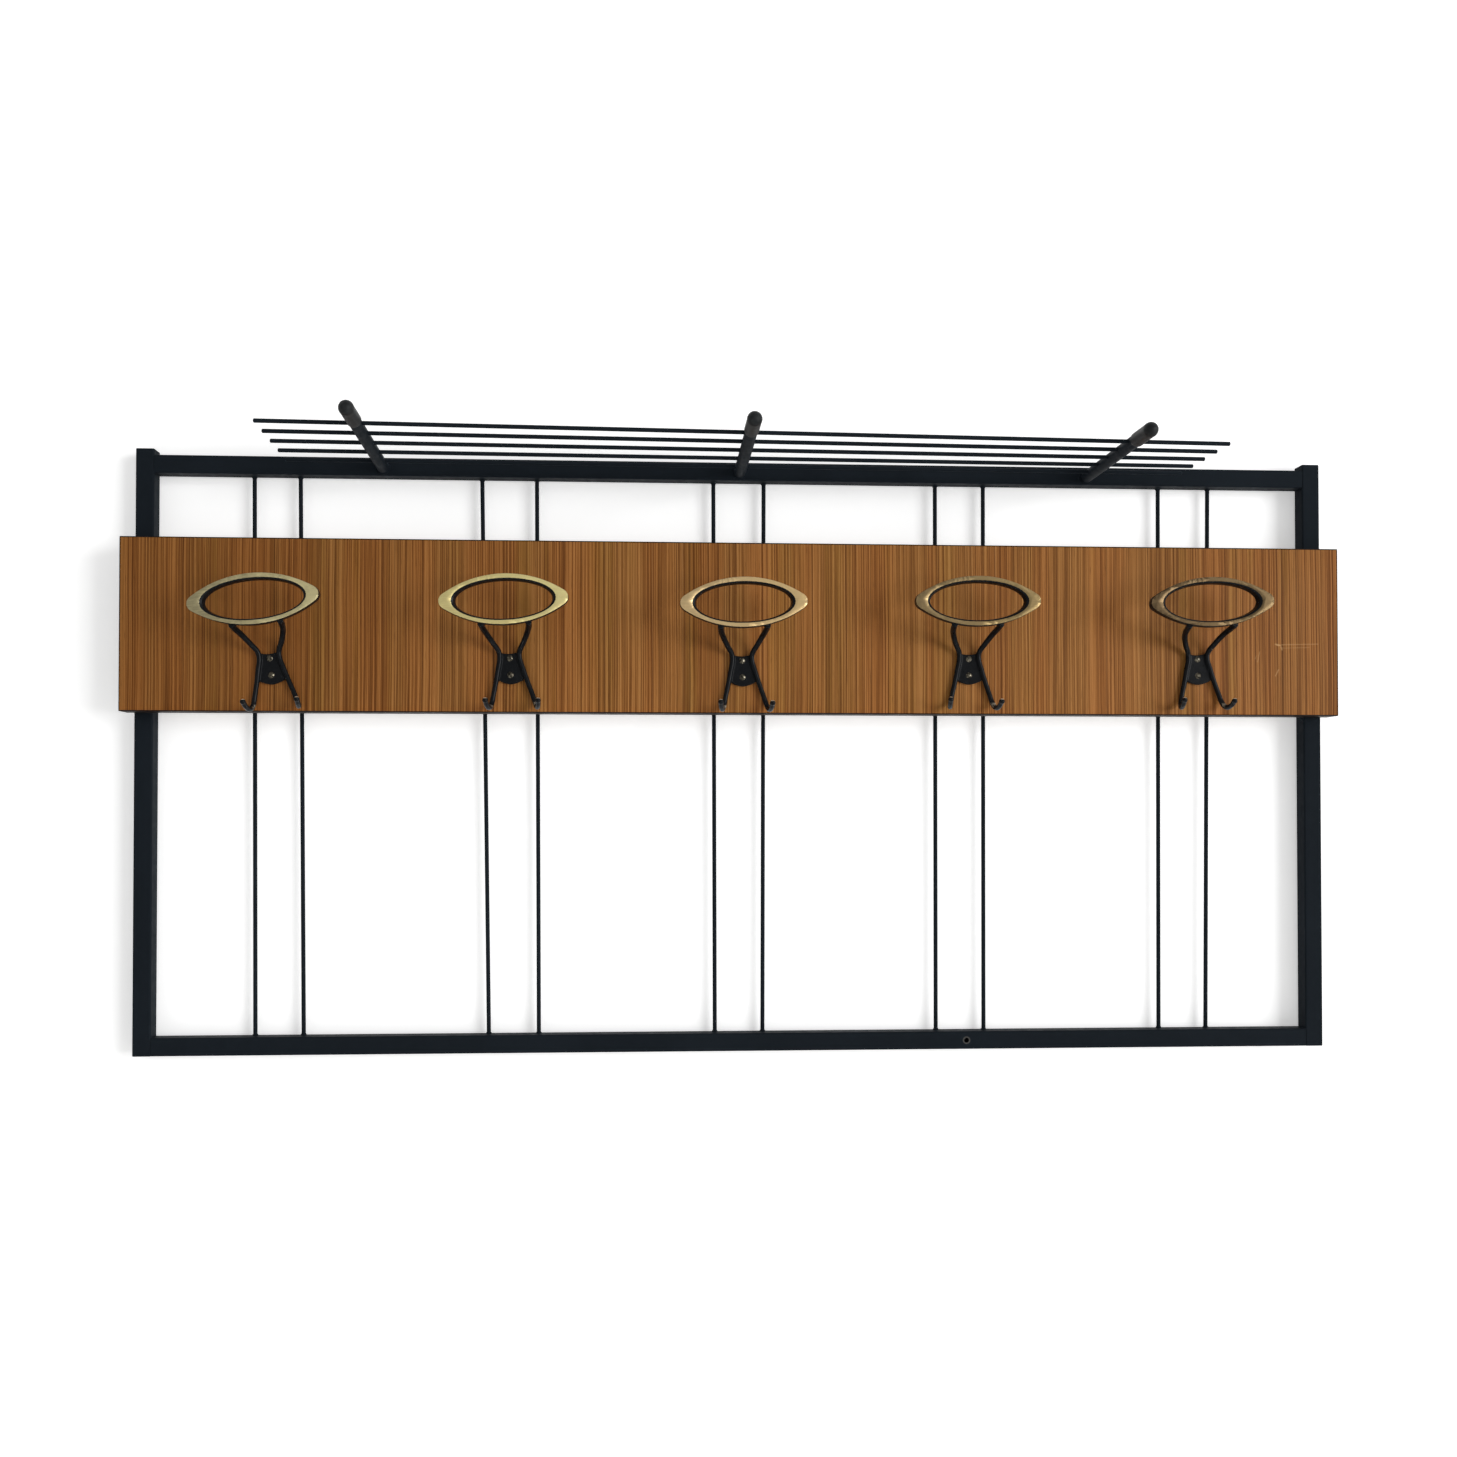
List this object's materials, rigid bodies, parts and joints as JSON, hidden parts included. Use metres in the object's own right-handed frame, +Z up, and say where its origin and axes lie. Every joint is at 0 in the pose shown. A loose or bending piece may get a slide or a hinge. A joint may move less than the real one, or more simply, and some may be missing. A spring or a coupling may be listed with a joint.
{
  "type": "wall hook rack",
  "caption": "Wall coat rack: black square-tube frame with thin upright rods, teak laminate board, cast hooks topped by brass-faced oval rings, and a rod hat shelf.",
  "frame": {"origin": "on the wall plane, midway between the two hanging holes in the back of the top rail", "axes": "+X along the rack to the viewer's right, +Y into the wall, +Z up; the rack stands out from the wall towards -Y"},
  "size_m": [1.213, 0.205, 0.6],
  "materials": {
    "black_paint": "satin black enamel, slightly uneven, rubbed thin on the edges",
    "black_plastic": "dull black moulded cap",
    "teak_laminate": "teak-pattern laminate, fine upright grain, low sheen",
    "backing_laminate": "plain brown backing sheet",
    "chipboard": "raw chipboard, hidden",
    "dark_edging": "very dark brown edging strip",
    "hook_casting": "gloss black paint over cast metal; ring face polished to brass, prong tips rubbed bright",
    "screw_brass": "dull brass",
    "screw_steel": "bright zinc"
  },
  "bodies": {
    "root": {"left_post": "black_paint", "right_post": "black_paint", "left_post_top_cap": "black_paint", "left_post_foot_cap": "black_paint", "right_post_top_cap": "black_paint", "right_post_foot_cap": "black_paint", "top_rail": "black_paint", "bottom_rail": "black_paint", "board_tab": "black_paint", "grille_rod_01": "black_paint", "grille_rod_02": "black_paint", "grille_rod_03": "black_paint", "grille_rod_04": "black_paint", "grille_rod_05": "black_paint", "grille_rod_06": "black_paint", "grille_rod_07": "black_paint", "grille_rod_08": "black_paint", "grille_rod_09": "black_paint", "grille_rod_10": "black_paint", "shelf_rod_1": "black_paint", "shelf_rod_2": "black_paint", "shelf_rod_3": "black_paint", "shelf_rod_4": "black_paint", "shelf_rod_5": "black_paint", "shelf_arm_left": "black_paint", "shelf_arm_middle": "black_paint", "shelf_arm_right": "black_paint", "shelf_arm_cap_left": "black_plastic", "shelf_arm_cap_middle": "black_plastic", "shelf_arm_cap_right": "black_plastic", "board_face_laminate": "teak_laminate", "board_back_laminate": "backing_laminate", "board_core": "chipboard", "board_edge_top": "dark_edging", "board_edge_bottom": "dark_edging", "board_edge_left": "dark_edging", "board_edge_right": "dark_edging", "hook_1": "hook_casting", "hook_2": "hook_casting", "hook_3": "hook_casting", "hook_4": "hook_casting", "hook_5": "hook_casting", "hook_screws_1": "screw_brass", "hook_screws_2": "screw_brass", "hook_screws_3": "screw_brass", "hook_screws_4": "screw_brass", "hook_screws_5": "screw_brass", "board_screws": "screw_steel"}
  },
  "joints": []
}
